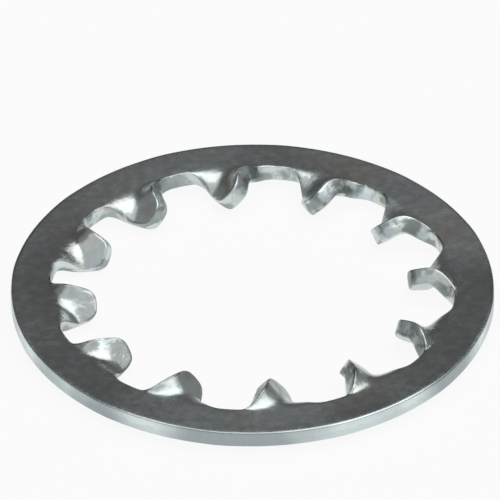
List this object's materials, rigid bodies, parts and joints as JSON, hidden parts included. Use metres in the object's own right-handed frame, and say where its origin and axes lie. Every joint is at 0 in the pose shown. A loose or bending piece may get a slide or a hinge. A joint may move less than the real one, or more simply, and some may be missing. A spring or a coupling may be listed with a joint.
{
  "type": "internal tooth lock washer",
  "caption": "Flat spring-steel ring whose short teeth point inwards and are twisted, so that they bite under a bolt head or nut and keep it from working loose.",
  "frame": {"origin": "on the washer's axis, halfway through the thickness of the ring", "axes": "+Z along the washer's axis, up as it lies; +X through the middle of one tooth"},
  "size_m": [0.0312, 0.0312, 0.0026],
  "materials": {
    "zinc_plated_steel": "satin"
  },
  "bodies": {
    "root": {"lock_washer": "zinc_plated_steel"}
  },
  "joints": []
}
